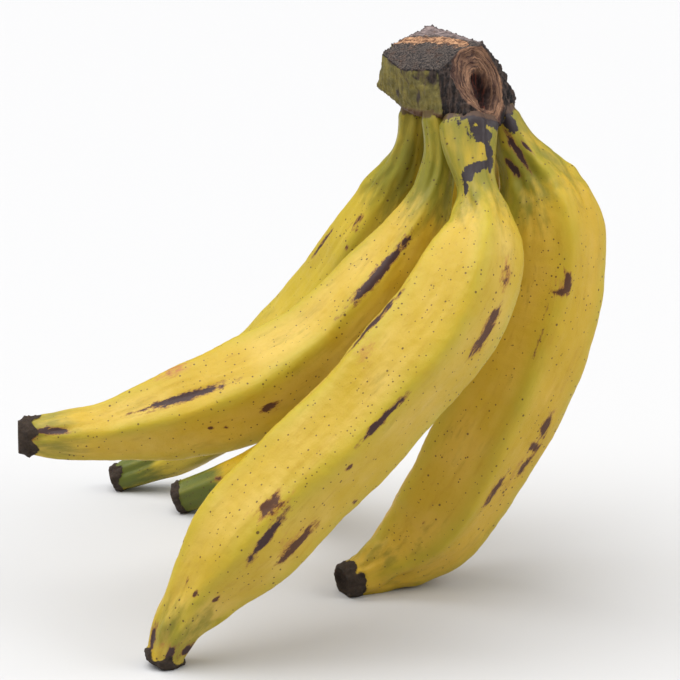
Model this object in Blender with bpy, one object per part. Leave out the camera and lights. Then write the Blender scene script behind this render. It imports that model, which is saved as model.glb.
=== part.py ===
"""A hand of five plantains on its cut crown, standing on the tips of its fingers.

Each finger is one closed body swept along a smooth centre line, from its pedicel to its dry
blossom end. The crown is the cut piece of stalk, with a short stub for each pedicel.
Coordinates below are in millimetres from the middle of the crown. The hand is moved at the end so
that it stands on Z = 0, with the middle of its footprint at X = Y = 0.
"""

import math

import bpy
import bmesh
import numpy as np
from mathutils import Vector

MM = 0.001
SIDES = 20  # points round a finger
STATIONS = 34  # sections along a finger
RIDGES = 5  # blunt ridges of a plantain
RIDGE_SHARPNESS = 0.55  # 0 is round, 1 is a flat-sided pentagon
SECTION_SWELL = 1.05  # makes up for what the flats between ridges take off
JOINT_GAP = 0.3  # between a pedicel and its stub on the crown
FLOOR = -219.2  # the surface that the hand stands on, where each resting finger is pressed flat
STUB_DEPTH = 9.0  # how far a stub reaches back into the crown
TIP_DOME = 1.2  # how far the middle of the blossom end stands out
FRONT = np.array([0.0, -0.96, 0.28])  # the direction that section angles are counted from

# Each row is x, y, z and the radius there, from the crown to the blossom end.
FINGERS = {
    "finger_back_left": [
        (-14.2, 20.4, -15.9, 6.3),
        (-15.2, 22.6, -31.1, 6.7),
        (-22.4, 29.3, -51.8, 11.6),
        (-36.6, 42.6, -83.7, 17.6),
        (-62.5, 67.5, -129.2, 21.4),
        (-95.9, 92.5, -170.6, 20.0),
        (-119.2, 110.0, -197.4, 11.6),
        (-136.8, 113.5, -208.0, 8.1),
        (-152.4, 114.5, -213.9, 6.0),
    ],
    "finger_left": [
        (-7.6, -11.8, -11.2, 5.0),
        (-4.8, -14.9, -26.5, 6.0),
        (-7.2, -17.9, -43.7, 8.6),
        (-20.5, -22.7, -68.1, 15.4),
        (-47.1, -29.9, -100.6, 20.8),
        (-78.2, -36.8, -121.1, 23.3),
        (-102.7, -41.2, -129.3, 22.4),
        (-124.5, -44.9, -134.7, 17.8),
        (-143.0, -47.9, -138.1, 12.8),
        (-161.4, -50.3, -139.0, 10.5),
        (-176.9, -52.3, -138.8, 7.0),
    ],
    "finger_front": [
        (7.6, -19.6, -10.4, 7.6),
        (8.2, -28.8, -27.7, 7.0),
        (10.2, -35.1, -38.9, 8.6),
        (11.3, -43.2, -52.8, 15.8),
        (3.5, -57.0, -75.3, 23.5),
        (-12.0, -68.7, -94.6, 24.7),
        (-43.4, -84.2, -126.8, 24.6),
        (-68.2, -93.4, -151.5, 24.4),
        (-84.2, -98.1, -168.1, 22.8),
        (-97.8, -100.7, -184.1, 17.2),
        (-110.0, -102.4, -201.0, 10.4),
        (-117.1, -102.9, -217.0, 7.0),
    ],
    "finger_right": [
        (22.0, 2.5, -13.2, 6.8),
        (26.9, 0.9, -26.6, 9.5),
        (34.4, 0.2, -38.0, 12.9),
        (38.4, 0.0, -47.0, 17.6),
        (42.7, -2.4, -81.1, 24.6),
        (33.8, -6.6, -117.4, 25.1),
        (13.8, -8.5, -158.3, 25.3),
        (2.0, -8.5, -180.0, 24.2),
        (-12.0, -10.0, -198.8, 20.8),
        (-25.0, -15.0, -207.2, 14.5),
        (-36.0, -20.5, -211.8, 9.4),
        (-43.5, -24.5, -213.4, 7.2),
    ],
    "finger_inner": [
        (9.2, 16.2, -16.8, 7.2),
        (8.6, 19.4, -33.0, 12.0),
        (8.2, 24.2, -50.0, 14.8),
        (2.0, 30.2, -83.3, 18.3),
        (-15.5, 29.5, -117.0, 18.4),
        (-42.5, 38.0, -156.0, 18.0),
        (-76.1, 64.5, -189.6, 12.9),
        (-101.9, 78.0, -204.6, 8.4),
        (-119.8, 84.0, -213.0, 7.3),
    ],
}

# Where the first ridge lies on each finger, in degrees from FRONT.
RIDGE_TURN = {
    "finger_back_left": 20.0,
    "finger_left": 4.0,
    "finger_front": -14.0,
    "finger_right": -16.0,
    "finger_inner": 30.0,
}

# Corners of the cut crown: the top face, the scar on its right, and the lower rim.
CROWN = [
    (-27.5, 1.0, 9.5),
    (-21.5, 15.0, 13.0),
    (-8.0, 20.0, 17.5),
    (12.0, 18.0, 11.5),
    (13.0, -2.0, 15.5),
    (3.5, -10.0, 14.0),
    (-5.5, -16.5, 7.0),
    (-21.0, -9.5, 6.5),
    (-29.0, 3.5, -4.5),
    (-21.0, 25.5, -9.5),
    (12.0, 23.5, -11.0),
    (21.0, 5.0, 4.5),
    (27.5, 6.0, -9.0),
    (23.5, 10.0, -13.5),
    (-20.5, -3.0, -9.5),
    (-2.5, -17.5, -8.5),
    (9.0, -21.0, -8.5),
    (16.5, -12.5, -11.5),
    (8.0, 20.5, -15.5),
]


def smooth_line(rows, count):
    """Even steps along the natural cubic through these rows."""
    rows = np.array(rows, float)
    gaps = np.linalg.norm(np.diff(rows[:, :3], axis=0), axis=1)
    at = np.concatenate([[0.0], np.cumsum(gaps)])
    last = len(rows) - 1
    system = np.zeros((last + 1, last + 1))
    right = np.zeros_like(rows)
    system[0, 0] = system[last, last] = 1.0
    for i in range(1, last):
        system[i, i - 1 : i + 2] = gaps[i - 1], 2.0 * (gaps[i - 1] + gaps[i]), gaps[i]
        after = (rows[i + 1] - rows[i]) / gaps[i]
        before = (rows[i] - rows[i - 1]) / gaps[i - 1]
        right[i] = 6.0 * (after - before)
    bend = np.linalg.solve(system, right)
    fine = np.linspace(0.0, at[-1], 800)
    cell = np.clip(np.searchsorted(at, fine, side="right") - 1, 0, last - 1)
    width = gaps[cell]
    left_share = ((at[cell + 1] - fine) / width)[:, None]
    right_share = 1.0 - left_share
    curve = left_share * rows[cell] + right_share * rows[cell + 1]
    pull = (left_share**3 - left_share) * bend[cell]
    pull += (right_share**3 - right_share) * bend[cell + 1]
    curve += pull * (width**2)[:, None] / 6.0
    steps = np.linalg.norm(np.diff(curve[:, :3], axis=0), axis=1)
    run = np.concatenate([[0.0], np.cumsum(steps)])
    want = np.linspace(0.0, run[-1], count)
    return np.stack([np.interp(want, run, curve[:, k]) for k in range(4)], axis=1)


def section_share(angle, ridged):
    """The radius of a blunt pentagon at this angle, as a share of the full radius."""
    sector = 2.0 * math.pi / RIDGES
    inside = abs((angle + 0.5 * sector) % sector - 0.5 * sector)
    flat = math.cos(0.5 * sector) / math.cos(0.5 * sector - inside)
    return flat ** (RIDGE_SHARPNESS * ridged) * (1.0 + (SECTION_SWELL - 1.0) * ridged)


def finger_rings(name):
    line = smooth_line(FINGERS[name], STATIONS)
    centres, radii = line[:, :3], line[:, 3]
    tangents = np.gradient(centres, axis=0)
    tangents /= np.linalg.norm(tangents, axis=1)[:, None]
    centres[0] += JOINT_GAP * tangents[0]
    turn = math.radians(RIDGE_TURN[name])
    rings = []
    for centre, radius, tangent in zip(centres, radii, tangents):
        front = FRONT - FRONT.dot(tangent) * tangent
        front /= np.linalg.norm(front)
        side = np.cross(tangent, front)
        ridged = min(1.0, max(0.0, (radius - 6.0) / 8.0))
        ring = []
        for k in range(SIDES):
            angle = 2.0 * math.pi * k / SIDES
            out = radius * section_share(angle, ridged)
            spoke = math.cos(angle + turn) * front + math.sin(angle + turn) * side
            ring.append(centre + out * spoke)
        rings.append(ring)
    return rings, centres, tangents


def mesh_object(name, points, faces, colour, roughness):
    mesh = bpy.data.meshes.new(name)
    mesh.from_pydata([tuple(MM * c for c in p) for p in points], [], faces)
    mesh.update()
    obj = bpy.data.objects.new(name, mesh)
    bpy.context.scene.collection.objects.link(obj)
    material = bpy.data.materials.new(name)
    material.use_nodes = True
    shader = material.node_tree.nodes["Principled BSDF"]
    shader.inputs["Base Color"].default_value = colour
    shader.inputs["Roughness"].default_value = roughness
    mesh.materials.append(material)
    return obj


def tube(rings, end):
    """Points and faces of a tube through the rings, flat at its start and domed at its end."""
    points = [p for ring in rings for p in ring]
    faces = []
    for i in range(len(rings) - 1):
        for k in range(SIDES):
            a = i * SIDES + k
            b = i * SIDES + (k + 1) % SIDES
            faces.append((a, b, b + SIDES, a + SIDES))
    faces.append(tuple(reversed(range(SIDES))))
    points.append(end)
    last = (len(rings) - 1) * SIDES
    for k in range(SIDES):
        faces.append((last + k, last + (k + 1) % SIDES, len(points) - 1))
    return points, faces


def outward(obj):
    """Turns every face of a closed mesh to face out."""
    work = bmesh.new()
    work.from_mesh(obj.data)
    bmesh.ops.recalc_face_normals(work, faces=work.faces)
    work.to_mesh(obj.data)
    work.free()


def press_flat(obj):
    """Cuts off what would reach below the surface, and closes the cut with a flat face."""
    work = bmesh.new()
    work.from_mesh(obj.data)
    everything = work.verts[:] + work.edges[:] + work.faces[:]
    level = Vector((0.0, 0.0, FLOOR * MM))
    down = Vector((0.0, 0.0, -1.0))
    bmesh.ops.bisect_plane(work, geom=everything, plane_co=level, plane_no=down, clear_outer=True)
    rim = [edge for edge in work.edges if edge.is_boundary]
    if rim:
        bmesh.ops.holes_fill(work, edges=rim)
    bmesh.ops.recalc_face_normals(work, faces=work.faces)
    work.to_mesh(obj.data)
    work.free()


def shade_sides(obj):
    """Smooth sides, with the flat start of the finger and the face it rests on left flat."""
    for face in obj.data.polygons:
        level = abs(face.normal.z + 1.0) < 0.0001
        face.use_smooth = len(face.vertices) < SIDES and not level


def make_finger(name):
    rings, centres, tangents = finger_rings(name)
    points, faces = tube(rings, centres[-1] + TIP_DOME * tangents[-1])
    finger = mesh_object(name, points, faces, (0.72, 0.55, 0.10, 1.0), 0.45)
    outward(finger)
    press_flat(finger)
    shade_sides(finger)
    return finger


def make_stub(name):
    """The end of a pedicel that belongs to the crown, cut square where the finger begins."""
    rings, centres, tangents = finger_rings(name)
    start = [p - JOINT_GAP * tangents[0] for p in rings[0]]
    back = [p - STUB_DEPTH * tangents[0] for p in start]
    middle = centres[0] - (JOINT_GAP + STUB_DEPTH) * tangents[0]
    points, faces = tube([start, back], middle)
    stub = mesh_object("stub", points, faces, (0.30, 0.32, 0.10, 1.0), 0.6)
    outward(stub)
    return stub


def make_crown():
    block = mesh_object("crown", CROWN, [], (0.10, 0.07, 0.04, 1.0), 0.8)
    work = bmesh.new()
    work.from_mesh(block.data)
    bmesh.ops.convex_hull(work, input=work.verts)
    bmesh.ops.recalc_face_normals(work, faces=work.faces)
    work.to_mesh(block.data)
    work.free()
    stubs = [make_stub(name) for name in FINGERS]
    for stub in stubs:
        join = block.modifiers.new("join", "BOOLEAN")
        join.operation = "UNION"
        join.solver = "EXACT"
        join.object = stub
    bpy.context.view_layer.update()
    seen = block.evaluated_get(bpy.context.evaluated_depsgraph_get())
    whole = bpy.data.meshes.new_from_object(seen)
    block.modifiers.clear()
    block.data = whole
    for stub in stubs:
        bpy.data.objects.remove(stub)
    return block


def stand(objects):
    """Moves the hand so that its lowest point is at Z = 0, over the middle of its footprint."""
    points = [obj.matrix_world @ v.co for obj in objects for v in obj.data.vertices]
    low = Vector([min(p[k] for p in points) for k in range(3)])
    high = Vector([max(p[k] for p in points) for k in range(3)])
    move = Vector((-(low.x + high.x) / 2.0, -(low.y + high.y) / 2.0, -low.z))
    for obj in objects:
        obj.location = obj.location + move


for old in list(bpy.data.objects):
    bpy.data.objects.remove(old)
hand = [make_finger(name) for name in FINGERS]
hand.append(make_crown())
bpy.context.view_layer.update()
stand(hand)
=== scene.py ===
"""The looks of a hand of five plantains on its cut crown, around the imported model.

Every finger is swept again in fine detail along a line within 3 mm of its CAD solid's own, and
carries attributes that its peel material reads. The crown is a carved, fibrous block. Lengths are
in millimetres from the middle of the crown, as in the CAD, unless a name says otherwise.
"""

import math

import bpy
import bmesh
import numpy as np
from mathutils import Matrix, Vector, noise


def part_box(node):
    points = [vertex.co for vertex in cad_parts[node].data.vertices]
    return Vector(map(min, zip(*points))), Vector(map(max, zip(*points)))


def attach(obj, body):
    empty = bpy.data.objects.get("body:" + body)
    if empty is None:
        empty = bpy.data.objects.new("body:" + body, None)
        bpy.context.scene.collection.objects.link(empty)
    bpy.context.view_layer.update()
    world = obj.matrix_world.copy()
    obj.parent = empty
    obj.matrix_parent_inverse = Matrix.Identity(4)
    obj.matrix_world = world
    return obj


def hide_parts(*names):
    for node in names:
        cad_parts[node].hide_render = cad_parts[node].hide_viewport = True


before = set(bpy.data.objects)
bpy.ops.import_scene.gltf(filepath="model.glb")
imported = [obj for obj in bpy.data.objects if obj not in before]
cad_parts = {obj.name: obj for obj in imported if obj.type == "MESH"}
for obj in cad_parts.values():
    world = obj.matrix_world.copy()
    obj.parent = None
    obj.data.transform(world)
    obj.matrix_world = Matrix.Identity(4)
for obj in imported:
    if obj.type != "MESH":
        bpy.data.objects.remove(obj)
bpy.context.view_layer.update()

MM = 0.001
AROUND = 120  # points round a finger
STATION = 0.95  # step between sections of a finger
RIDGES = 5
SECTOR = math.tau / RIDGES  # the angle from one ridge to the next
CAP_RINGS = 16  # sections that close the blossom end
CAP_RUN = 6.0  # the length along the peel that those sections stand for
ROOT_STEPS = np.array([1.0, 0.75, 0.5, 0.25])  # sections of a root, as shares of its length
FRONT = np.array([0.0, -0.96, 0.28])  # the direction that section angles are counted from

# The crown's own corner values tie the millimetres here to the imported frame.
CROWN_LEFT, CROWN_BACK, CROWN_TOP = -29.0, 25.5, 17.5
crown_low, crown_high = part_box("crown")
HAND = np.array(
    [
        crown_low.x / MM - CROWN_LEFT,
        crown_high.y / MM - CROWN_BACK,
        crown_high.z / MM - CROWN_TOP,
    ]
)
FLOOR = -HAND[2]

# x, y, z and radius along each finger, from the crown to the blossom end.
LINES = {
    "finger_back_left": [
        (-14.2, 20.4, -15.9, 6.3),
        (-15.2, 22.6, -31.1, 6.7),
        (-22.4, 29.3, -51.8, 11.6),
        (-36.6, 42.6, -83.7, 17.6),
        (-62.5, 67.5, -129.2, 21.4),
        (-95.9, 92.5, -170.6, 20.0),
        (-119.2, 110.0, -197.4, 11.6),
        (-136.8, 113.5, -208.0, 8.1),
        (-152.4, 114.5, -213.9, 6.0),
    ],
    "finger_left": [
        (-7.6, -11.8, -11.2, 5.0),
        (-4.8, -14.9, -26.5, 6.0),
        (-7.2, -17.9, -43.7, 8.6),
        (-20.5, -22.7, -68.1, 15.4),
        (-47.1, -29.9, -100.6, 20.8),
        (-78.2, -36.8, -121.1, 23.3),
        (-102.7, -41.2, -129.3, 22.4),
        (-124.5, -44.9, -134.7, 17.8),
        (-143.0, -47.9, -138.1, 12.8),
        (-161.4, -50.3, -139.0, 10.5),
        (-176.9, -52.3, -138.8, 7.0),
    ],
    "finger_front": [
        (7.2, -18.4, -12.6, 7.5),
        (8.2, -28.6, -28.2, 7.0),
        (10.2, -35.1, -38.9, 8.6),
        (11.3, -43.2, -52.8, 15.8),
        (3.5, -57.0, -75.3, 23.5),
        (-12.0, -68.7, -94.6, 24.7),
        (-43.4, -84.2, -126.8, 24.6),
        (-68.2, -93.4, -151.5, 24.4),
        (-84.2, -98.1, -168.1, 22.8),
        (-97.8, -100.7, -184.1, 17.2),
        (-110.0, -102.4, -201.0, 10.4),
        (-117.1, -102.9, -217.0, 7.0),
    ],
    "finger_right": [
        (22.0, 2.5, -13.2, 6.8),
        (26.9, 0.9, -26.6, 9.5),
        (33.2, 0.2, -38.0, 14.2),
        (37.0, 0.0, -47.0, 20.2),
        (42.7, -2.4, -81.1, 24.6),
        (33.8, -6.6, -117.4, 25.1),
        (13.8, -8.5, -158.3, 25.3),
        (2.0, -8.5, -180.0, 24.2),
        (-12.0, -10.0, -198.8, 20.8),
        (-25.0, -15.0, -207.2, 14.5),
        (-36.0, -20.5, -211.8, 9.4),
        (-43.5, -24.5, -213.4, 7.2),
    ],
    "finger_inner": [
        (9.2, 16.2, -16.8, 7.2),
        (10.2, 19.4, -33.0, 13.4),
        (10.0, 24.2, -50.0, 16.8),
        (2.0, 30.2, -83.3, 18.3),
        (-15.5, 29.5, -117.0, 18.4),
        (-42.5, 38.0, -156.0, 18.0),
        (-76.1, 64.5, -189.6, 12.9),
        (-101.9, 78.0, -204.6, 8.4),
        (-119.8, 84.0, -213.0, 7.3),
    ],
}

# The angle of the first ridge from FRONT in degrees, and how far the ridges twist on the way down.
RIDGE_TURN = {
    "finger_back_left": (20.0, 10.0),
    "finger_left": (4.0, -4.0),
    "finger_front": (-14.0, 6.0),
    "finger_right": (-16.0, 0.0),
    "finger_inner": (30.0, 8.0),
}

# How much wider than deep a pedicel is where it leaves the crown, if it isn't round.
FLARE = {"finger_front": 1.62}

# How far each pedicel runs on into the crown.
ROOT = {
    "finger_back_left": 5.0,
    "finger_left": 1.2,
    "finger_front": 0.8,
    "finger_right": 1.6,
    "finger_inner": 5.0,
}

# How far the dark, dry end of each finger reaches.
DRY = {
    "finger_back_left": 3.4,
    "finger_left": 5.6,
    "finger_front": 3.0,
    "finger_right": 4.5,
    "finger_inner": 2.6,
}

SLOTS = {finger: finger.replace("finger", "peel") for finger in LINES}


# ---------------------------------------------------------------- shapes


FINE_STEPS = 2400  # steps for measuring a finger's length


def smooth_line(rows, step):
    """Even steps along the natural cubic through these rows, and the length run at each."""
    rows = np.array(rows, float)
    gaps = np.linalg.norm(np.diff(rows[:, :3], axis=0), axis=1)
    at = np.concatenate([[0.0], np.cumsum(gaps)])
    last = len(rows) - 1
    system = np.zeros((last + 1, last + 1))
    right = np.zeros_like(rows)
    system[0, 0] = system[last, last] = 1.0
    for i in range(1, last):
        system[i, i - 1 : i + 2] = gaps[i - 1], 2.0 * (gaps[i - 1] + gaps[i]), gaps[i]
        after = (rows[i + 1] - rows[i]) / gaps[i]
        before = (rows[i] - rows[i - 1]) / gaps[i - 1]
        right[i] = 6.0 * (after - before)
    bend = np.linalg.solve(system, right)
    fine = np.linspace(0.0, at[-1], FINE_STEPS)
    cell = np.clip(np.searchsorted(at, fine, side="right") - 1, 0, last - 1)
    width = gaps[cell]
    left_share = ((at[cell + 1] - fine) / width)[:, None]
    right_share = 1.0 - left_share
    curve = left_share * rows[cell] + right_share * rows[cell + 1]
    pull = (left_share**3 - left_share) * bend[cell]
    pull += (right_share**3 - right_share) * bend[cell + 1]
    curve += pull * (width**2)[:, None] / 6.0
    steps = np.linalg.norm(np.diff(curve[:, :3], axis=0), axis=1)
    run = np.concatenate([[0.0], np.cumsum(steps)])
    want = np.linspace(0.0, run[-1], int(run[-1] / step) + 1)
    return np.stack([np.interp(want, run, curve[:, k]) for k in range(4)], axis=1), want


def ramp(low, high, value):
    """0 below low, 1 above high, and smooth in between."""
    share = np.clip((value - low) / (high - low), 0.0, 1.0)
    return share * share * (3.0 - 2.0 * share)


def waves(seed, *terms):
    """A smooth random function of points: a sum of sines with given sizes."""
    rng = np.random.default_rng(seed)
    made = []
    for size, length in terms:
        for _ in range(5):
            direction = rng.normal(size=3)
            direction /= np.linalg.norm(direction)
            made.append((size * 0.45, math.tau / length * direction, rng.uniform(0.0, math.tau)))

    def value(points):
        total = np.zeros(len(points))
        for size, wave, phase in made:
            total += size * np.sin(points @ wave + phase)
        return total

    return value


def from_nearest_ridge(angle):
    return np.abs((angle + 0.5 * SECTOR) % SECTOR - 0.5 * SECTOR)


def ridged(angle):
    """The radius of a pentagon with rounded ridges at this angle, as a share of the full radius."""
    rounded = np.sqrt(from_nearest_ridge(angle) ** 2 + 0.13**2) - 0.04
    return math.cos(0.5 * SECTOR) / np.cos(0.5 * SECTOR - rounded)


def ridge_nearness(angle):
    """1 on a ridge, falling to 0 between ridges."""
    return np.exp(-((from_nearest_ridge(angle) / 0.24) ** 2))


def mesh_piece(name, points, faces):
    mesh = bpy.data.meshes.new(name)
    mesh.from_pydata([tuple(p) for p in (points + HAND) * MM], [], faces)
    mesh.update()
    work = bmesh.new()
    work.from_mesh(mesh)
    bmesh.ops.recalc_face_normals(work, faces=work.faces)
    work.to_mesh(mesh)
    work.free()
    mesh.polygons.foreach_set("use_smooth", [True] * len(mesh.polygons))
    obj = bpy.data.objects.new(name, mesh)
    bpy.context.scene.collection.objects.link(obj)
    return obj


def add_attribute(obj, name, values):
    """One number or one vector for each point of the mesh."""
    kind = "FLOAT" if values.ndim == 1 else "FLOAT_VECTOR"
    layer = obj.data.attributes.new(name, kind, "POINT")
    field = "value" if values.ndim == 1 else "vector"
    layer.data.foreach_set(field, np.ascontiguousarray(values, np.float32).ravel())


def ring_faces(rings):
    """Quads between rings of AROUND points, and a closed fan at each end point."""
    faces = []
    for i in range(rings - 1):
        row = i * AROUND
        for k in range(AROUND):
            right = (k + 1) % AROUND
            faces.append((row + k, row + right, row + AROUND + right, row + AROUND + k))
    first, last = rings * AROUND, rings * AROUND + 1
    top = (rings - 1) * AROUND
    for k in range(AROUND):
        right = (k + 1) % AROUND
        faces.append((first, right, k))
        faces.append((last, top + k, top + right))
    return faces


# Marks on the peel: share of the length, degrees from FRONT, half length, half width, how far the
# mark leans from the finger's own direction in degrees, and its strength.
STREAKS = {
    "finger_back_left": [
        (0.30, 76, 11.0, 1.1, 3, 0.8),
    ],
    "finger_left": [
        (0.72, 19, 19.0, 2.3, 2, 1.0),
        (0.30, 8, 21.0, 2.3, 4, 1.0),
        (0.95, 13, 8.0, 1.9, 2, 0.95),
    ],
    "finger_front": [
        (0.41, 60, 17.0, 1.8, 2, 0.95),
        (0.515, -17, 12.5, 1.5, 3, 0.95),
        (0.74, -14, 13.5, 1.9, -8, 1.0),
        (0.97, 56, 6.0, 1.5, -3, 0.95),
        (0.972, -13, 4.0, 1.6, 10, 0.95),
        (0.965, -57, 3.8, 1.6, 18, 1.0),
    ],
    "finger_right": [
        (0.07, 7, 9.0, 1.5, -6, 1.0),
        (0.093, 33, 5.4, 1.6, -17, 1.0),
        (0.075, -18, 4.8, 0.6, -8, 0.9),
        (0.40, -2, 13.0, 0.6, -3, 0.75),
    ],
    "finger_inner": [],
}
PATCHES = {
    "finger_back_left": [
        (0.21, 27, 6.0, 3.8, -9, 0.5),
        (0.20, 30, 2.0, 1.2, 0, 0.75),
        (0.25, 20, 1.4, 1.0, 0, 0.8),
    ],
    "finger_left": [
        (0.69, -30, 1.3, 1.0, 30, 1.0),
        (0.665, -36, 1.2, 0.9, 0, 1.0),
        (0.59, -30, 5.0, 2.6, 0, 0.8),
        (0.985, -10, 4.0, 3.0, 0, 0.6),
    ],
    "finger_front": [
        (0.33, -54, 8.5, 3.4, 0, 1.0),
        (0.30, -52, 4.6, 2.8, 12, 1.0),
        (0.255, -44, 5.0, 3.2, 0, 0.62),
        (0.24, -42, 2.2, 1.1, 31, 0.9),
        (0.71, 6, 6.5, 4.6, 13, 0.82),
        (0.723, -51, 12.5, 2.7, 0, 0.95),
        (0.595, -27, 1.8, 1.2, 24, 0.95),
        (0.624, -77, 1.8, 1.2, 24, 0.9),
        (0.875, 7, 1.9, 1.2, -16, 0.9),
        (0.864, -27, 2.2, 1.4, 0, 0.95),
        (0.87, 34, 1.6, 1.0, 0, 0.75),
    ],
    "finger_right": [
        (0.305, -17, 5.0, 2.1, -15, 1.0),
        (0.323, -11, 1.7, 5.2, 0, 0.8),
        (0.547, -63, 7.0, 2.8, -16, 1.0),
        (0.585, -65, 2.8, 4.6, 0, 0.92),
        (0.626, -69, 6.0, 2.5, 0, 0.92),
        (0.681, -43, 9.5, 3.0, 10, 0.9),
        (0.80, 12, 1.6, 1.0, 0, 0.8),
    ],
    "finger_inner": [
        (0.90, 20, 3.0, 2.0, 0, 0.7),
    ],
}
SCUFFS = {
    "finger_back_left": [
        (0.22, 28, 12.0, 6.0, 0, 0.5),
    ],
    "finger_left": [
        (0.72, 60, 9.0, 4.0, 0, 0.9),
        (0.65, 19, 12.0, 4.0, 0, 0.5),
        (0.30, 10, 24.0, 4.5, 4, 0.6),
    ],
    "finger_front": [
        (0.25, -43, 10.0, 5.0, 0, 0.75),
        (0.32, -53, 13.0, 5.5, 0, 0.72),
        (0.45, 45, 8.0, 3.8, 0, 0.72),
        (0.71, 4, 13.0, 8.0, 13, 0.72),
        (0.725, -43, 14.0, 7.0, 0, 0.66),
        (0.40, 57, 20.0, 3.6, 0, 0.5),
        (0.965, 10, 7.0, 6.0, 0, 0.6),
    ],
    "finger_right": [
        (0.31, -10, 9.0, 6.0, 0, 0.66),
        (0.60, -64, 38.0, 5.0, 0, 0.6),
    ],
    "finger_inner": [],
}
CHARRED = {
    "finger_back_left": [],
    "finger_left": [],
    "finger_front": [
        (0.0, -45, 6.5, 11.0, 0, 1.3),
        (0.035, -30, 5.0, 3.6, -30, 1.2),
        (0.06, -52, 5.0, 2.2, -25, 1.2),
        (0.082, -60, 4.5, 1.6, 0, 1.15),
        (0.088, -15, 2.4, 6.4, -12, 1.2),
        (0.10, 22, 3.2, 2.8, 30, 1.15),
        (0.118, 34, 3.6, 1.3, 15, 1.1),
    ],
    "finger_right": [
        (0.0, 10, 3.0, 9.0, 0, 1.2),
        (0.025, -6, 4.5, 2.6, -15, 1.2),
        (0.02, 60, 3.0, 4.0, 0, 1.0),
    ],
    "finger_inner": [
        (0.0, 0, 8.0, 30.0, 0, 1.2),
    ],
}


def mark_field(marks, share, angle, run, radius):
    """How strongly these marks cover each point: 1 in the middle of one, 0 well outside."""
    length = run.max() / share.max()  # without the cap
    cover = np.zeros(len(run))
    for at, turn, half_length, half_width, lean, strength in marks:
        along = run - at * length
        across = (angle - math.radians(turn) + math.pi) % math.tau - math.pi
        across = across * radius
        tilt = math.radians(lean)
        u = along * math.cos(tilt) + across * math.sin(tilt)
        v = across * math.cos(tilt) - along * math.sin(tilt)
        outward = (u / half_length) ** 2 + (v / half_width) ** 2
        cover = np.maximum(cover, strength * np.exp(-outward * 0.9))
    return cover


ALL_MARKS = (("streak", STREAKS), ("patch", PATCHES), ("scuff", SCUFFS), ("charred", CHARRED))


def finger_sections(name):
    """Centre, radius, length run and the two cross directions of each section of a finger."""
    line, run = smooth_line(LINES[name], STATION)
    centres, radii = line[:, :3], line[:, 3]
    tangents = np.gradient(centres, axis=0)
    tangents /= np.linalg.norm(tangents, axis=1)[:, None]
    fronts = FRONT - (tangents @ FRONT)[:, None] * tangents
    fronts /= np.linalg.norm(fronts, axis=1)[:, None]
    sides = np.cross(tangents, fronts)

    # The dry end: the last sections turn in over a rough rim to a shallow dish.
    cap = np.linspace(0.0, 1.0, CAP_RINGS + 1)[1:]
    lip = 1.0 - cap**1.6
    dish = 1.6 * np.sin(np.pi * np.minimum(cap * 2.2, 1.0)) - 2.2 * ramp(0.35, 1.0, cap)
    # Rings that narrow back into the crown, so that no gap shows under it.
    root = ROOT[name] * ROOT_STEPS
    behind = centres[0] - root[:, None] * tangents[0]
    narrow = radii[0] * (1.0 - 0.06 * root)

    centres = np.concatenate([behind, centres, centres[-1] + dish[:, None] * tangents[-1]])
    radii = np.concatenate([narrow, radii, radii[-1] * np.maximum(lip, 0.03)])
    run = np.concatenate([-root, run, run[-1] + CAP_RUN * cap])
    before, after = [0] * len(root), [-1] * CAP_RINGS
    fronts = np.concatenate([fronts[before], fronts, fronts[after]])
    sides = np.concatenate([sides[before], sides, sides[after]])
    return centres, radii, run, fronts, sides


def peel_relief(plain, seed, full, near_neck, near_tip, dry):
    """How far swellings and folds, or the crumples of a dry end, stand out from the finger."""
    swell = 0.45 * waves(seed + 1, (1.0, 46.0), (0.5, 23.0))(plain) * full
    squeezed = np.stack([plain[:, 0], plain[:, 1], plain[:, 2] * 0.12], axis=1)
    folds = waves(seed + 2, (0.5, 6.5), (0.22, 3.4))(squeezed)
    fine = waves(seed + 3, (0.10, 9.0), (0.05, 4.2))(plain)
    crumple = waves(seed + 4, (0.45, 5.0), (0.25, 2.4), (0.15, 1.3))(plain)
    living = swell + fine * full + folds * (0.25 * full + near_neck + 0.9 * near_tip)
    return living * (1.0 - dry) + crumple * dry


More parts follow.
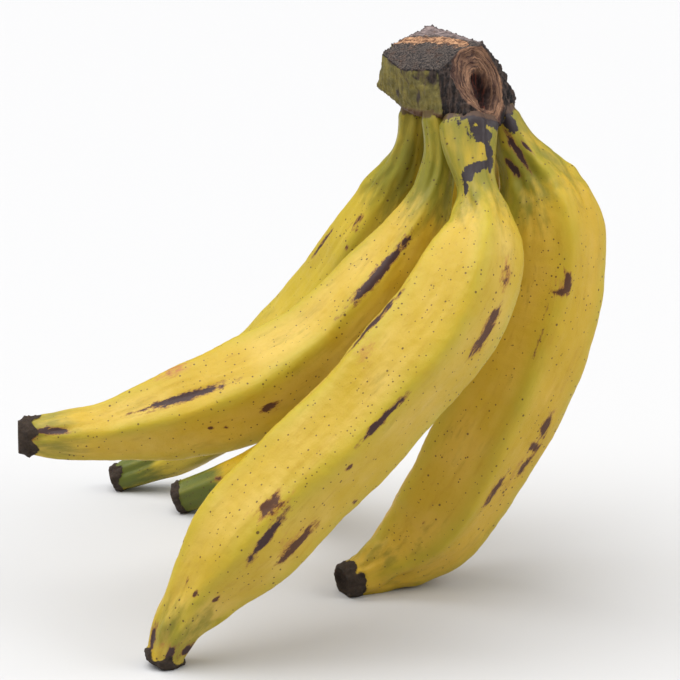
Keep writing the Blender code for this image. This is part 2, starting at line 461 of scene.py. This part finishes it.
def make_finger(name, seed):
    centres, radii, run, fronts, sides = finger_sections(name)
    length = run[-CAP_RINGS - 1]
    angle = np.tile(np.linspace(0.0, math.tau, AROUND, endpoint=False), len(run))
    along = np.repeat(run, AROUND)
    radius = np.repeat(radii, AROUND)
    share = along / length
    plain = np.stack([radius * np.cos(angle), radius * np.sin(angle), along], axis=1)

    turn, twist = RIDGE_TURN[name]
    wander = waves(seed, (0.10, 140.0), (0.04, 60.0))(plain)
    from_ridge = angle - np.radians(turn + twist * (share - 0.5)) + wander
    full = ramp(6.0, 15.0, radius)
    form = 1.0 + full * (1.03 * ridged(from_ridge) - 1.0)
    form *= 1.0 + full * 0.012 * np.cos(2.0 * angle + seed)

    near_neck = 1.0 - ramp(26.0, 62.0, along)
    near_tip = ramp(length - 42.0, length - 12.0, along)
    ragged = along + 1.4 * waves(seed + 5, (1.0, 7.0))(plain)
    dry = ramp(length - DRY[name] - 0.8, length - DRY[name] + 0.8, ragged)
    relief = peel_relief(plain, seed, full, near_neck, near_tip, dry)
    # Fading to nothing at the middle of the dish keeps the rings from crossing there.
    middle = np.clip(radius / radii[-CAP_RINGS - 1], 0.0, 1.0)
    relief = relief * np.minimum(1.0, middle**2 + full)
    dents = -0.5 * mark_field(STREAKS[name], share, angle, along, radius)
    rim = dry * np.exp(-(((along - length + 1.5) / 2.2) ** 2))
    tuck = 1.0 - 0.16 * (1.0 - ramp(0.0, 3.5, along))
    out = tuck * radius * form + (relief + dents * full + rim) * np.minimum(1.0, radius / 5.0)

    wide = 1.0 + (FLARE.get(name, 1.0) - 1.0) * (1.0 - ramp(4.0, 34.0, along))
    points = np.repeat(centres, AROUND, axis=0)
    points = points + (out * np.cos(angle))[:, None] * np.repeat(fronts, AROUND, axis=0)
    points = points + (out * wide * np.sin(angle))[:, None] * np.repeat(sides, AROUND, axis=0)
    points = np.concatenate([points, centres[[0, -1]]])
    points[:, 2] = np.maximum(points[:, 2], FLOOR)
    piece = mesh_piece(name + "_fruit", points, ring_faces(len(run)))

    grown = np.concatenate([plain, [[0.0, 0.0, 0.0], [0.0, 0.0, run[-1]]]]) * 0.1
    grown[:, 0] += 50.0 * seed
    add_attribute(piece, "grown", grown)
    fields = {"share": share, "ridge": ridge_nearness(from_ridge) * full, "neck": near_neck}
    fields.update({"tip": near_tip, "dry": dry, "seam": 1.0 - ramp(0.8, 3.2, along)})
    for label, marks in ALL_MARKS:
        fields[label] = mark_field(marks[name], share, angle, along, radius)
    for label, values in fields.items():
        # The two end points take the values of the first and the last section.
        add_attribute(piece, label, np.concatenate([values, values[:1], values[-1:]]))
    return piece


# ---------------------------------------------------------------- crown

# Corners of the cut crown: the top face, the scar on its right, and the lower rim.
CROWN = [
    (-28.2, 1.0, 11.0),
    (-21.5, 15.0, 14.2),
    (-8.0, 20.0, 19.8),
    (12.5, 18.0, 12.8),
    (13.0, -2.0, 15.5),
    (3.5, -10.0, 14.0),
    (-5.5, -16.5, 7.6),
    (-21.0, -9.5, 6.5),
    (-30.4, 3.5, -3.5),
    (-21.0, 25.5, -12.5),
    (12.0, 23.5, -13.0),
    (21.5, 5.0, 4.5),
    (28.0, 6.0, -8.0),
    (24.0, 10.0, -15.5),
    (-20.5, -3.0, -10.0),
    (-15.0, -8.5, -12.3),
    (-2.5, -19.2, -10.8),
    (8.0, -25.0, -12.8),
    (16.0, -15.5, -15.5),
    (25.5, -1.0, -17.5),
    (8.0, 20.5, -15.5),
]


def unit(*parts):
    return np.array(parts) / np.linalg.norm(parts)


# The scar is a slanting oval on the right of the crown, with a torn hollow below its middle.
SCAR_MIDDLE = np.array([11.8, -10.4, 0.2])
HOLLOW_MIDDLE = np.array([13.9, -9.5, -1.8])
SCAR_OUT = unit(0.71, -0.548, 0.442)
SCAR_ALONG = unit(0.414, -0.181, -0.890)
SCAR_ACROSS = np.cross(SCAR_OUT, SCAR_ALONG)
SCAR_SIZE = (15.5, 12.4)  # half length and half width
HOLLOW_SIZE = (9.6, 7.2)
HOLLOW_DEPTH = 5.6
TOP_OUT = unit(-0.116, -0.282, 0.953)

# Dark stains on the green side: x, z, half width, half height and strength.
STAINS = [
    (-19.0, 4.0, 2.4, 7.0, 0.55),
    (-21.8, -4.6, 0.9, 1.7, 1.0),
    (-13.4, -4.5, 0.9, 4.2, 0.75),
    (-8.0, 5.5, 2.0, 5.5, 0.95),
    (-28.5, -1.0, 1.6, 5.0, 0.45),
    (-15.5, 6.8, 3.0, 1.6, 0.6),
    (-24.0, 8.0, 3.0, 1.4, 0.6),
]


def fractal(points, octaves=4, fade=0.96):
    """Random lumps one unit apart. A low fade keeps more of the finer octaves."""
    return np.array([noise.fractal(Vector(p), fade, 2.0, octaves) for p in points])


def oval(points, middle, half_length, half_width):
    """How far out of an oval on the scar's face each point is, and the direction to it."""
    offset = points - middle
    along = offset @ SCAR_ALONG / half_length
    across = offset @ SCAR_ACROSS / half_width
    return np.hypot(along, across), np.arctan2(across, along)


CROWN_GRAIN = 0.4  # size of the block's faces


def crown_block():
    """The crown's flat-sided block in small even faces."""
    mesh = bpy.data.meshes.new("crown_block")
    mesh.from_pydata([tuple((np.array(p) + HAND) * MM) for p in CROWN], [], [])
    work = bmesh.new()
    work.from_mesh(mesh)
    bmesh.ops.convex_hull(work, input=work.verts)
    bmesh.ops.recalc_face_normals(work, faces=work.faces)
    work.to_mesh(mesh)
    work.free()
    block = bpy.data.objects.new("crown_block", mesh)
    bpy.context.scene.collection.objects.link(block)
    remesh = block.modifiers.new("even", "REMESH")
    remesh.mode = "VOXEL"
    remesh.voxel_size = CROWN_GRAIN * MM
    soften = block.modifiers.new("soften", "SMOOTH")
    soften.factor = 0.5
    soften.iterations = 9
    bpy.context.view_layer.update()
    seen = block.evaluated_get(bpy.context.evaluated_depsgraph_get())
    block.data = bpy.data.meshes.new_from_object(seen)
    block.modifiers.clear()
    return block


def shape_of(obj):
    """The points of an object's mesh, in millimetres from the crown's middle, and its normals."""
    flat = np.empty(len(obj.data.vertices) * 3, np.float32)
    obj.data.vertices.foreach_get("co", flat)
    points = flat.reshape(-1, 3) / MM - HAND
    obj.data.vertices.foreach_get("normal", flat)
    return points, flat.reshape(-1, 3).astype(float)


def crown_regions(points, normals):
    """Which parts of the crown are top, scar, skin and so on, and the scar's ring pattern."""
    x, y, z = points.T
    wobble = 0.07 * fractal(points * 0.22)
    reach, turn = oval(points, SCAR_MIDDLE, *SCAR_SIZE)
    reach = reach + wobble
    scar = ramp(0.55, 0.8, normals @ SCAR_OUT) * (1.0 - ramp(1.0, 1.12, reach))
    deep, _ = oval(points, HOLLOW_MIDDLE, *HOLLOW_SIZE)
    hollow = scar * (1.0 - ramp(0.55, 1.05, deep + 1.6 * wobble))
    rings = np.stack([reach * 8.0, 0.45 * np.cos(turn), 0.45 * np.sin(turn)], axis=1)

    # The cut top, with a band of torn fibres along a line that slants back to the left.
    top = ramp(0.72, 0.86, normals @ TOP_OUT) * (1.0 - scar)
    past_line = (y - 3.9 + 0.46 * (x + 4.2)) * 0.9
    band = top * np.exp(-(((past_line + 20.0 * wobble) / 3.8) ** 2))
    band *= 1.0 - ramp(6.0, 10.0, x)

    # Green skin covers the left side, up to an upright edge and to the top's dark edging.
    edge = -5.2 + (6.0 - z) * 0.10 + 8.0 * wobble
    behind = ramp(4.0, 10.0, y + 0.3 * x)
    right_side = np.maximum(ramp(edge - 0.35, edge + 0.35, x) * (1.0 - behind), ramp(14.0, 20.0, x))
    edging = ramp(0.30, 0.50, normals @ TOP_OUT + 0.8 * wobble)
    skin = (1.0 - top) * (1.0 - right_side) * (1.0 - scar) * (1.0 - edging)
    rim = ramp(-9.6, -11.2, z) * skin

    stain = np.zeros(len(points))
    for at_x, at_z, half_width, half_height, strength in STAINS:
        spread = ((x - at_x) / half_width) ** 2 + ((z - at_z) / half_height) ** 2
        stain = np.maximum(stain, strength * np.exp(-spread))
    fields = {"skin": skin, "top": top, "band": band, "scar": scar, "hollow": hollow}
    fields.update({"rim": rim, "stain": stain, "back": ramp(2.0, 7.0, past_line)})
    return fields, rings, reach


def crown_relief(points, normals, fields, rings, reach):
    """How far the crown's grain, fibres and rings stand out from the plain block."""
    skin, top, band, scar = (fields[label] for label in ("skin", "top", "band", "scar"))
    grain = fractal(points * 0.9, 5, 0.88)
    lumps = fractal(points * 0.16, 3)
    upright = fractal(points * np.array([0.8, 0.8, 0.10]), 4)
    combed = fractal(points @ np.array([[0.25, 0.0, 0.0], [0.12, 1.5, 0.0], [0.0, 0.0, 1.5]]), 4)
    strands = fractal(rings * 1.7, 5, 0.8)
    bark = (1.0 - skin) * (1.0 - top) * (1.0 - scar)
    move = 0.5 * lumps * (1.0 - 0.5 * scar)
    move += top * (0.36 * grain - 0.5) + band * (0.7 * combed + 0.25)
    move += skin * (0.55 * upright + 0.12 * grain) + fields["rim"] * 0.9
    move += bark * (upright + 0.3 * grain)
    move += scar * (0.6 * strands + 0.2 * grain)
    # The scar is sunk inside a raised lip.
    move -= 1.5 * scar * (1.0 - ramp(0.55, 1.0, reach))
    move += np.exp(-(((reach - 1.06) / 0.10) ** 2)) * ramp(0.5, 0.8, normals @ SCAR_OUT)
    return move


def make_crown():
    block = crown_block()
    points, normals = shape_of(block)
    fields, rings, reach = crown_regions(points, normals)
    x, _, z = points.T
    move = crown_relief(points, normals, fields, rings, reach)
    points = points + move[:, None] * normals
    points -= (HOLLOW_DEPTH * fields["hollow"])[:, None] * SCAR_OUT

    # The lower lip hangs down raggedly over the pedicels on the right.
    under = ramp(0.55, 0.8, -normals[:, 2])
    ragged = ramp(-9.0, -14.0, z) * ramp(2.0, 7.0, x) * (0.6 + 1.3 * fractal(points * 0.28, 3))
    points[:, 2] -= 2.2 * ragged * (1.0 - under * 0.5)

    block.data.vertices.foreach_set("co", ((points + HAND) * MM).astype(np.float32).ravel())
    block.data.polygons.foreach_set("use_smooth", [True] * len(block.data.polygons))
    block.data.update()
    for label, values in fields.items():
        add_attribute(block, label, values)
    add_attribute(block, "grown", points * 0.1)
    add_attribute(block, "rings", rings)
    return block


# ---------------------------------------------------------------- materials


class Nodes:
    """Short calls for building a material's node tree."""

    def __init__(self, name):
        self.material = bpy.data.materials.new(name)
        self.material.use_nodes = True
        self.tree = self.material.node_tree
        self.shader = self.tree.nodes["Principled BSDF"]

    def link(self, source, target):
        self.tree.links.new(source, target)

    def attribute(self, name, vector=False):
        node = self.tree.nodes.new("ShaderNodeAttribute")
        node.attribute_name = name
        return node.outputs["Vector" if vector else "Fac"]

    def put(self, socket, value):
        if isinstance(value, bpy.types.NodeSocket):
            self.link(value, socket)
        else:
            socket.default_value = value

    def math(self, how, a, b=0.0, clamp=False):
        node = self.tree.nodes.new("ShaderNodeMath")
        node.operation = how
        node.use_clamp = clamp
        self.put(node.inputs[0], a)
        self.put(node.inputs[1], b)
        return node.outputs[0]

    def stretch(self, vector, by):
        node = self.tree.nodes.new("ShaderNodeVectorMath")
        node.operation = "MULTIPLY"
        self.link(vector, node.inputs[0])
        node.inputs[1].default_value = by
        return node.outputs[0]

    def noise(self, vector, scale, detail=4.0, rough=0.55, distortion=0.0):
        node = self.tree.nodes.new("ShaderNodeTexNoise")
        self.link(vector, node.inputs["Vector"])
        node.inputs["Scale"].default_value = scale
        node.inputs["Detail"].default_value = detail
        node.inputs["Roughness"].default_value = rough
        node.inputs["Distortion"].default_value = distortion
        return node.outputs["Fac"]

    def cells(self, vector, scale):
        """Distance to the nearest cell's centre, and that cell's own random number."""
        node = self.tree.nodes.new("ShaderNodeTexVoronoi")
        self.link(vector, node.inputs["Vector"])
        node.inputs["Scale"].default_value = scale
        split = self.tree.nodes.new("ShaderNodeSeparateColor")
        self.link(node.outputs["Color"], split.inputs[0])
        return node.outputs["Distance"], split.outputs[0]

    def span(self, value, low, high, to_low=0.0, to_high=1.0):
        node = self.tree.nodes.new("ShaderNodeMapRange")
        node.interpolation_type = "SMOOTHSTEP"
        self.put(node.inputs["Value"], value)
        node.inputs["From Min"].default_value = low
        node.inputs["From Max"].default_value = high
        node.inputs["To Min"].default_value = to_low
        node.inputs["To Max"].default_value = to_high
        return node.outputs["Result"]

    def mix(self, share, a, b, how="MIX"):
        node = self.tree.nodes.new("ShaderNodeMix")
        node.data_type = "RGBA"
        node.blend_type = how
        self.put(node.inputs[0], share)
        self.put(node.inputs[6], a)
        self.put(node.inputs[7], b)
        return node.outputs[2]

    def bump(self, height, distance, strength=1.0, after=None):
        node = self.tree.nodes.new("ShaderNodeBump")
        node.inputs["Strength"].default_value = strength
        node.inputs["Distance"].default_value = distance
        self.link(height, node.inputs["Height"])
        if after is not None:
            self.link(after, node.inputs["Normal"])
        return node.outputs["Normal"]


def tone(red, green, blue):
    """A colour from sRGB numbers of 0 to 255."""
    shares = [c / 255.0 for c in (red, green, blue)]
    linear = [((c + 0.055) / 1.055) ** 2.4 if c > 0.04045 else c / 12.92 for c in shares]
    return (*linear, 1.0)


OLIVE = tone(130, 124, 32)
LEAF = tone(90, 98, 28)


def peel(name, yellow, pale, deep, neck_green, tip_green, tip_tone):
    n = Nodes(name)
    grown = n.attribute("grown", vector=True)
    streaky = n.stretch(grown, (1.0, 1.0, 0.22))
    broad = n.noise(grown, 0.32, 3.0)
    lines = n.noise(streaky, 2.6, 4.0, 0.6)
    fine = n.noise(grown, 7.0, 5.0, 0.65)

    colour = n.mix(n.span(broad, 0.35, 0.68), yellow, pale)
    colour = n.mix(n.span(lines, 0.5, 0.75, 0.0, 0.32), colour, deep)
    colour = n.mix(n.span(fine, 0.52, 0.75, 0.0, 0.18), colour, deep)

    neck = n.math("MULTIPLY", n.attribute("neck"), neck_green)
    tip = n.math("MULTIPLY", n.attribute("tip"), tip_green)
    green = n.mix(n.span(n.attribute("share"), 0.45, 0.55), OLIVE, tip_tone)
    green_share = n.math("MAXIMUM", neck, tip)
    green_share = n.math("ADD", green_share, n.span(broad, 0.3, 0.7, -0.25, 0.25))
    green_share = n.math("ADD", green_share, n.span(lines, 0.3, 0.7, -0.2, 0.2))
    green_share = n.span(green_share, 0.15, 1.0)
    colour = n.mix(green_share, colour, green)
    ridge_green = n.math("MULTIPLY", n.attribute("ridge"), n.span(broad, 0.3, 0.6, 0.15, 0.75))
    colour = n.mix(ridge_green, colour, tone(178, 160, 26))

    # Dark specks: many fine ones, and fewer that are larger.
    for scale, size, keep in ((4.8, 0.20, 0.2), (2.5, 0.145, 0.35)):
        distance, own = n.cells(grown, scale)
        limit = n.span(own, keep, 1.0, 0.0, size)
        crowd = n.math("MULTIPLY", n.attribute("scuff"), n.span(own, 0.1, 0.6, 0.0, 0.12))
        limit = n.math("ADD", limit, crowd)
        inside = n.span(n.math("SUBTRACT", limit, distance), -0.03, 0.05, 0.0, 0.85)
        colour = n.mix(inside, colour, tone(74, 46, 22))

    ragged = n.noise(n.stretch(grown, (1.0, 1.0, 0.45)), 4.5, 6.0, 0.7)
    for label, low, high, dark in (
        ("scuff", 0.40, 1.05, tone(176, 116, 56)),
        ("patch", 0.26, 0.62, tone(150, 100, 40)),
        ("patch", 0.46, 0.66, tone(84, 50, 28)),
        ("streak", 0.22, 0.56, tone(140, 96, 44)),
        ("streak", 0.44, 0.60, tone(60, 36, 34)),
        ("charred", 0.48, 0.58, tone(44, 34, 37)),
    ):
        cover = n.math("ADD", n.attribute(label), n.span(ragged, 0.25, 0.75, -0.32, 0.32))
        cover = n.span(n.math("MULTIPLY", cover, n.span(n.attribute(label), 0.02, 0.2)), low, high)
        colour = n.mix(cover, colour, dark)

    seam = n.math("ADD", n.attribute("seam"), n.span(ragged, 0.3, 0.7, -0.3, 0.3))
    colour = n.mix(n.span(seam, 0.45, 0.9, 0.0, 0.85), colour, tone(84, 60, 42))

    burnt = n.math("ADD", n.attribute("dry"), n.span(ragged, 0.3, 0.7, -0.22, 0.22))
    burnt = n.span(n.math("MULTIPLY", burnt, n.span(n.attribute("dry"), 0.01, 0.1)), 0.25, 0.6)
    bark = n.mix(n.noise(grown, 9.0, 4.0), tone(24, 18, 16), tone(82, 68, 56))
    colour = n.mix(burnt, colour, bark)
    n.link(colour, n.shader.inputs["Base Color"])

    rough = n.span(fine, 0.3, 0.7, 0.42, 0.54)
    rough = n.math("ADD", rough, n.math("MULTIPLY", burnt, 0.4), clamp=True)
    n.link(rough, n.shader.inputs["Roughness"])
    n.shader.inputs["Specular IOR Level"].default_value = 0.34
    n.shader.inputs["Subsurface Weight"].default_value = 0.08
    n.shader.inputs["Subsurface Radius"].default_value = (1.0, 0.55, 0.12)
    n.shader.inputs["Subsurface Scale"].default_value = 0.003

    height = n.math("MULTIPLY", lines, 0.6)
    height = n.math("ADD", height, n.math("MULTIPLY", fine, 0.4))
    normal = n.bump(height, 0.0006, 0.5)
    rind = n.noise(grown, 16.0, 5.0, 0.7)
    normal = n.bump(n.math("MULTIPLY", rind, n.math("ADD", burnt, 0.12)), 0.0012, 0.8, normal)
    n.link(normal, n.shader.inputs["Normal"])
    return n.material


def crown_material():
    n = Nodes("crown_fibre")
    grown = n.attribute("grown", vector=True)
    rings = n.attribute("rings", vector=True)
    grain = n.noise(grown, 14.0, 5.0, 0.7)
    patchy = n.noise(grown, 2.2, 4.0, 0.6)
    upright = n.noise(n.stretch(grown, (1.0, 1.0, 0.16)), 6.0, 5.0, 0.62)
    combed = n.noise(n.stretch(grown, (0.30, 1.0, 1.0)), 11.0, 5.0, 0.6)
    strands = n.noise(rings, 2.3, 6.0, 0.62, 0.4)

    # Black, wrinkled edges with worn grey-brown fibres.
    dark = n.mix(n.span(upright, 0.42, 0.66), tone(26, 21, 22), tone(84, 68, 60))
    dark = n.mix(n.span(grain, 0.55, 0.8, 0.0, 0.6), dark, tone(120, 98, 82))

    # The cut top: granular black in front, a tan band of torn fibres, mauve-grey behind.
    front = n.mix(n.span(grain, 0.42, 0.62), tone(30, 26, 27), tone(100, 88, 80))
    rear = n.mix(n.span(combed, 0.35, 0.68), tone(84, 72, 72), tone(158, 140, 136))
    top = n.mix(n.attribute("back"), front, rear)
    fibre = n.mix(n.span(combed, 0.38, 0.62), tone(92, 58, 40), tone(206, 158, 118))
    band = n.math("ADD", n.attribute("band"), n.span(grain, 0.25, 0.75, -0.3, 0.3))
    band = n.math("ADD", band, n.span(patchy, 0.3, 0.7, -0.3, 0.25))
    top = n.mix(n.span(patchy, 0.5, 0.75, 0.0, 0.5), top, tone(96, 66, 48))
    top = n.mix(n.span(band, 0.35, 0.7), top, fibre)

    # The scar: rings of brown and tan strands round a red-brown hollow.
    scar = n.mix(n.span(strands, 0.36, 0.64), tone(58, 36, 30), tone(158, 118, 90))
    scar = n.mix(n.span(strands, 0.60, 0.72, 0.0, 0.8), scar, tone(206, 168, 128))
    scar = n.mix(n.span(patchy, 0.45, 0.7, 0.0, 0.6), scar, tone(70, 44, 40))
    pit = n.mix(n.span(strands, 0.45, 0.7), tone(34, 15, 11), tone(112, 50, 32))
    scar = n.mix(n.span(n.attribute("hollow"), 0.15, 0.7), scar, pit)

    # Green skin with purple-black stains, and a brown line along its lower rim.
    skin = n.mix(n.span(patchy, 0.35, 0.68), tone(106, 98, 52), tone(138, 126, 64))
    skin = n.mix(n.span(upright, 0.5, 0.72, 0.0, 0.6), skin, tone(86, 76, 58))
    stain = n.math("ADD", n.attribute("stain"), n.span(upright, 0.3, 0.7, -0.25, 0.25))
    skin = n.mix(n.span(stain, 0.25, 0.75, 0.0, 0.92), skin, tone(62, 50, 52))
    skin = n.mix(n.attribute("rim"), skin, tone(92, 64, 44))

    colour = n.mix(n.span(n.attribute("skin"), 0.3, 0.7), dark, skin)
    colour = n.mix(n.span(n.attribute("top"), 0.3, 0.7), colour, top)
    colour = n.mix(n.span(n.attribute("scar"), 0.3, 0.7), colour, scar)
    n.link(colour, n.shader.inputs["Base Color"])
    rough = n.span(n.attribute("skin"), 0.3, 0.7, 0.72, 0.5)
    n.link(rough, n.shader.inputs["Roughness"])
    n.shader.inputs["Specular IOR Level"].default_value = 0.35
    normal = n.bump(strands, 0.0010, 0.7)
    normal = n.bump(upright, 0.0006, 0.5, normal)
    normal = n.bump(grain, 0.0007, 0.7, normal)
    n.link(normal, n.shader.inputs["Normal"])
    return n.material


def floor_material():
    n = Nodes("paper")
    n.shader.inputs["Base Color"].default_value = (0.57, 0.57, 0.574, 1.0)
    n.shader.inputs["Roughness"].default_value = 0.9
    return n.material


# ---------------------------------------------------------------- scene


def wear(obj, material):
    obj.data.materials.clear()
    obj.data.materials.append(material)


def sun(name, towards, strength, softness):
    """A soft light from far away. The direction given points from the hand to the light."""
    data = bpy.data.lights.new(name, "SUN")
    data.energy = strength
    data.angle = math.radians(softness)
    light = bpy.data.objects.new(name, data)
    light.rotation_mode = "QUATERNION"
    light.rotation_quaternion = Vector(towards).to_track_quat("Z", "Y")
    bpy.context.scene.collection.objects.link(light)


def make_stage():
    """A wide, pale table top, two soft suns and a sky that is brighter overhead."""
    far = 30.0  # metres from the middle of the table top to its sides
    mesh = bpy.data.meshes.new("table_top")
    corners = [(-far, -far, 0.0), (far, -far, 0.0), (far, far, 0.0), (-far, far, 0.0)]
    mesh.from_pydata(corners, [], [(0, 1, 2, 3)])
    top = bpy.data.objects.new("table_top", mesh)
    bpy.context.scene.collection.objects.link(top)
    wear(top, floor_material())
    world = bpy.data.worlds.new("studio")
    world.use_nodes = True
    sky = world.node_tree.nodes["Background"]
    sky.inputs["Color"].default_value = (1.0, 1.0, 1.0, 1.0)
    place = world.node_tree.nodes.new("ShaderNodeTexCoord")
    split = world.node_tree.nodes.new("ShaderNodeSeparateXYZ")
    height = world.node_tree.nodes.new("ShaderNodeMapRange")
    height.inputs["From Min"].default_value = 0.0
    height.inputs["From Max"].default_value = 0.8
    height.inputs["To Min"].default_value = 0.14
    height.inputs["To Max"].default_value = 0.62
    world.node_tree.links.new(place.outputs["Generated"], split.inputs[0])
    world.node_tree.links.new(split.outputs["Z"], height.inputs["Value"])
    world.node_tree.links.new(height.outputs["Result"], sky.inputs["Strength"])
    bpy.context.scene.world = world
    sun("key", (-0.38, -0.06, 0.93), 3.2, 70.0)
    sun("rim", (0.80, -0.10, 0.55), 1.4, 45.0)


AIM = np.array([-45.8, -29.9, -104.1])  # the point in the middle of the view


def make_camera():
    """A long lens in front of the hand, raised a little and looking down at it."""
    elevation = math.radians(16.0)
    distance = 1.18  # metres
    aim = Vector(tuple((HAND + AIM) * MM))
    forward = Vector((0.0, math.cos(elevation), -math.sin(elevation)))
    data = bpy.data.cameras.new("camera")
    data.lens = 150.0
    data.sensor_width = 36.0
    camera = bpy.data.objects.new("camera", data)
    camera.location = aim - distance * forward
    camera.rotation_mode = "QUATERNION"
    camera.rotation_quaternion = forward.to_track_quat("-Z", "Y")
    bpy.context.scene.collection.objects.link(camera)
    bpy.context.scene.camera = camera


# Three tones of the peel, how green its neck and its tip are, and the tip's own green.
PEELS = {
    "finger_front": (tone(192, 160, 40), tone(206, 174, 76), tone(170, 128, 24), 0.85, 0.5, OLIVE),
    "finger_left": (tone(196, 162, 38), tone(208, 176, 74), tone(168, 126, 20), 0.85, 0.5, OLIVE),
    "finger_right": (tone(198, 162, 38), tone(210, 172, 62), tone(170, 124, 20), 0.8, 0.4, OLIVE),
    "finger_back_left": (tone(196, 170, 44), tone(206, 178, 58), tone(168, 136, 24), 0.8, 1.0, LEAF),
    "finger_inner": (tone(190, 154, 24), tone(200, 164, 36), tone(168, 124, 16), 0.2, 1.1, LEAF),
}

make_camera()
make_stage()
for seed, finger in enumerate(LINES, start=1):
    fruit = make_finger(finger, seed)
    wear(fruit, peel(SLOTS[finger], *PEELS[finger]))
    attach(fruit, "root")
    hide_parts(finger)

crown = make_crown()
wear(crown, crown_material())
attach(crown, "root")
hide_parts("crown")

bpy.context.scene.view_settings.view_transform = "Standard"

bpy.context.view_layer.update()
